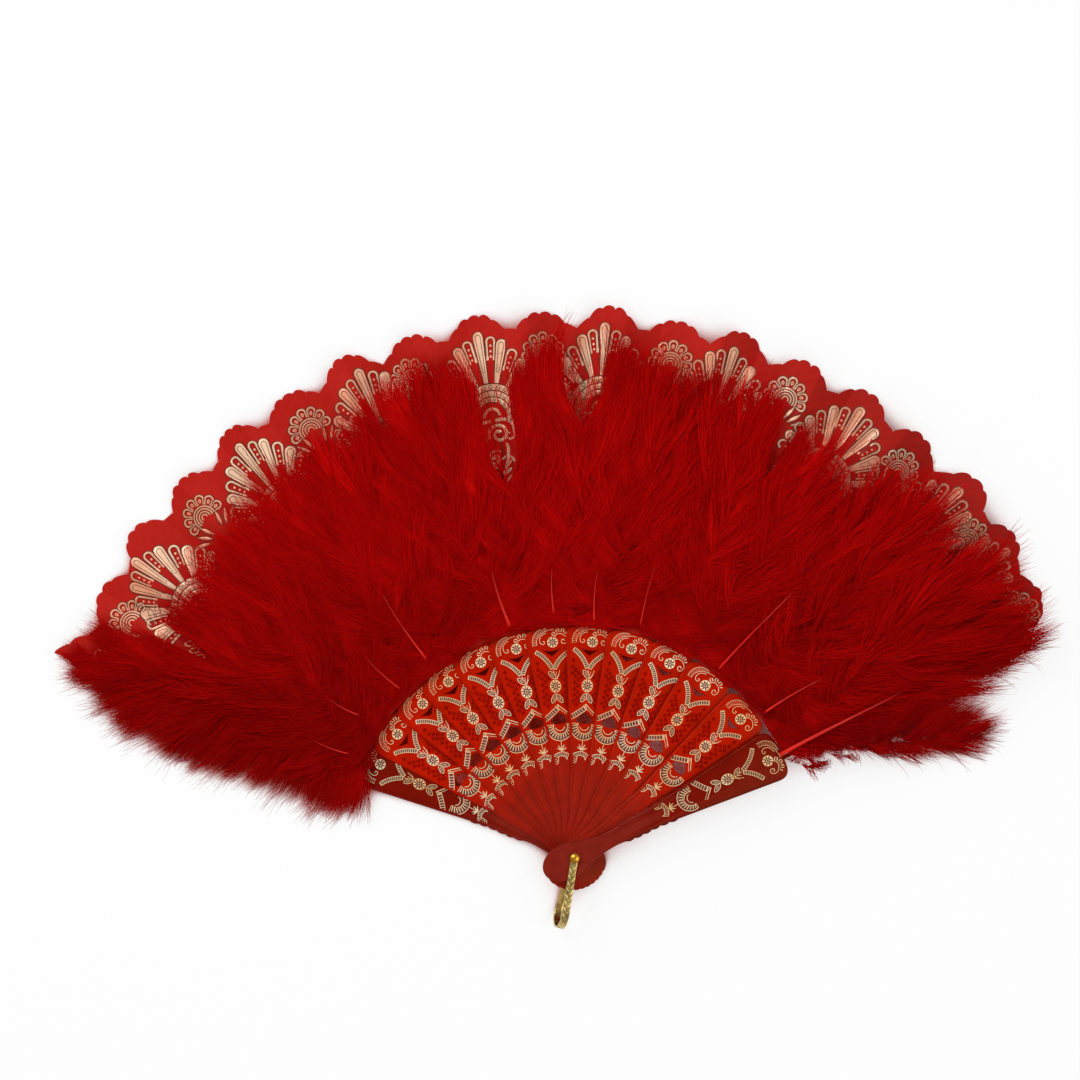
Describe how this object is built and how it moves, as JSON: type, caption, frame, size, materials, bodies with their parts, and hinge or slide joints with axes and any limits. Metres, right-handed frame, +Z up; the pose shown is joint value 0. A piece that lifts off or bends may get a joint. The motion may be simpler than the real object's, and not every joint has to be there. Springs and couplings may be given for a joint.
{
  "type": "folding feather fan",
  "caption": "Open hand fan: pierced plastic sticks on one rivet, a pleated printed cloth leaf and two rows of fluffy down plumes, with a metal bail on the rivet.",
  "frame": {"origin": "on the table, on the axis of the rivet that all the sticks turn on, at the flat face of its rear head", "axes": "+Z up along the rivet, +X to the fan's right seen from its face, +Y away from the rivet towards the leaf"},
  "size_m": [0.4543, 0.2836, 0.0278],
  "materials": {
    "gloss_plastic": "glossy moulded, gold foil print",
    "gilt_metal": "polished, front leg engraved",
    "leaf_cloth": "thin satin with gold foil print",
    "down": "soft, fluffy, matt"
  },
  "bodies": {
    "back_guard": {"back_guard": "gloss_plastic", "rivet_pin": "gilt_metal", "rivet_dome": "gilt_metal", "lower_plume_00": "down"},
    "stick_01": {"stick_01": "gloss_plastic", "leaf_panel_01": "leaf_cloth", "lower_plume_01": "down", "upper_plume_01": "down"},
    "stick_02": {"stick_02": "gloss_plastic", "leaf_panel_02": "leaf_cloth", "lower_plume_02": "down", "upper_plume_02": "down"},
    "stick_03": {"stick_03": "gloss_plastic", "leaf_panel_03": "leaf_cloth", "lower_plume_03": "down", "upper_plume_03": "down"},
    "stick_04": {"stick_04": "gloss_plastic", "leaf_panel_04": "leaf_cloth", "lower_plume_04": "down", "upper_plume_04": "down"},
    "stick_05": {"stick_05": "gloss_plastic", "leaf_panel_05": "leaf_cloth", "lower_plume_05": "down", "upper_plume_05": "down"},
    "stick_06": {"stick_06": "gloss_plastic", "leaf_panel_06": "leaf_cloth", "lower_plume_06": "down", "upper_plume_06": "down"},
    "stick_07": {"stick_07": "gloss_plastic", "leaf_panel_07": "leaf_cloth", "lower_plume_07": "down", "upper_plume_07": "down"},
    "stick_08": {"stick_08": "gloss_plastic", "leaf_panel_08": "leaf_cloth", "lower_plume_08": "down", "upper_plume_08": "down"},
    "stick_09": {"stick_09": "gloss_plastic", "leaf_panel_09": "leaf_cloth", "lower_plume_09": "down", "upper_plume_09": "down"},
    "stick_10": {"stick_10": "gloss_plastic", "leaf_panel_10": "leaf_cloth", "lower_plume_10": "down", "upper_plume_10": "down"},
    "stick_11": {"stick_11": "gloss_plastic", "leaf_panel_11": "leaf_cloth", "lower_plume_11": "down", "upper_plume_11": "down"},
    "front_guard": {"front_guard": "gloss_plastic", "leaf_panel_12": "leaf_cloth", "lower_plume_12": "down", "upper_plume_12": "down"},
    "bail": {"bail": "gilt_metal"}
  },
  "joints": [
    {"name": "fold_01", "type": "hinge", "parent": "back_guard", "child": "stick_01", "pos_m": [0, 0, 0.01], "axis": [0, 0, 1], "range_deg": [0, 9.37], "deforming": ["leaf_panel_01", "upper_plume_01", "lower_plume_01", "lower_plume_00"]},
    {"name": "fold_02", "type": "hinge", "parent": "stick_01", "child": "stick_02", "pos_m": [0, 0, 0.01], "axis": [0, 0, 1], "range_deg": [0, 10.65], "deforming": ["leaf_panel_02", "upper_plume_02", "lower_plume_02"]},
    {"name": "fold_03", "type": "hinge", "parent": "stick_02", "child": "stick_03", "pos_m": [0, 0, 0.01], "axis": [0, 0, 1], "range_deg": [0, 9.11], "deforming": ["leaf_panel_03", "upper_plume_03", "lower_plume_03"]},
    {"name": "fold_04", "type": "hinge", "parent": "stick_03", "child": "stick_04", "pos_m": [0, 0, 0.01], "axis": [0, 0, 1], "range_deg": [0, 10.14], "deforming": ["leaf_panel_04", "upper_plume_04", "lower_plume_04"]},
    {"name": "fold_05", "type": "hinge", "parent": "stick_04", "child": "stick_05", "pos_m": [0, 0, 0.01], "axis": [0, 0, 1], "range_deg": [0, 10.14], "deforming": ["leaf_panel_05", "upper_plume_05", "lower_plume_05"]},
    {"name": "fold_06", "type": "hinge", "parent": "stick_05", "child": "stick_06", "pos_m": [0, 0, 0.01], "axis": [0, 0, 1], "range_deg": [0, 9.88], "deforming": ["leaf_panel_06", "upper_plume_06", "lower_plume_06"]},
    {"name": "fold_07", "type": "hinge", "parent": "stick_06", "child": "stick_07", "pos_m": [0, 0, 0.01], "axis": [0, 0, 1], "range_deg": [0, 10.65], "deforming": ["leaf_panel_07", "upper_plume_07", "lower_plume_07"]},
    {"name": "fold_08", "type": "hinge", "parent": "stick_07", "child": "stick_08", "pos_m": [0, 0, 0.01], "axis": [0, 0, 1], "range_deg": [0, 10.52], "deforming": ["leaf_panel_08", "upper_plume_08", "lower_plume_08"]},
    {"name": "fold_09", "type": "hinge", "parent": "stick_08", "child": "stick_09", "pos_m": [0, 0, 0.01], "axis": [0, 0, 1], "range_deg": [0, 10.91], "deforming": ["leaf_panel_09", "upper_plume_09", "lower_plume_09"]},
    {"name": "fold_10", "type": "hinge", "parent": "stick_09", "child": "stick_10", "pos_m": [0, 0, 0.01], "axis": [0, 0, 1], "range_deg": [0, 11.04], "deforming": ["leaf_panel_10", "upper_plume_10", "lower_plume_10"]},
    {"name": "fold_11", "type": "hinge", "parent": "stick_10", "child": "stick_11", "pos_m": [0, 0, 0.01], "axis": [0, 0, 1], "range_deg": [0, 12.96], "deforming": ["leaf_panel_11", "upper_plume_11", "lower_plume_11"]},
    {"name": "fold_12", "type": "hinge", "parent": "stick_11", "child": "front_guard", "pos_m": [0, 0, 0.01], "axis": [0, 0, 1], "range_deg": [0, 13.09], "deforming": ["leaf_panel_12", "upper_plume_12", "lower_plume_12"]},
    {"name": "bail_swing", "type": "hinge", "parent": "back_guard", "child": "bail", "pos_m": [0, 0, 0.01], "axis": [0, 0, 1], "range_deg": [-70, 90]}
  ],
  "couplings": [
    {"joint": "fold_02", "follows": "fold_01", "ratio": 1.137},
    {"joint": "fold_03", "follows": "fold_01", "ratio": 0.9726},
    {"joint": "fold_04", "follows": "fold_01", "ratio": 1.0822},
    {"joint": "fold_05", "follows": "fold_01", "ratio": 1.0822},
    {"joint": "fold_06", "follows": "fold_01", "ratio": 1.0548},
    {"joint": "fold_07", "follows": "fold_01", "ratio": 1.137},
    {"joint": "fold_08", "follows": "fold_01", "ratio": 1.1233},
    {"joint": "fold_09", "follows": "fold_01", "ratio": 1.1644},
    {"joint": "fold_10", "follows": "fold_01", "ratio": 1.1781},
    {"joint": "fold_11", "follows": "fold_01", "ratio": 1.3836},
    {"joint": "fold_12", "follows": "fold_01", "ratio": 1.3973}
  ]
}
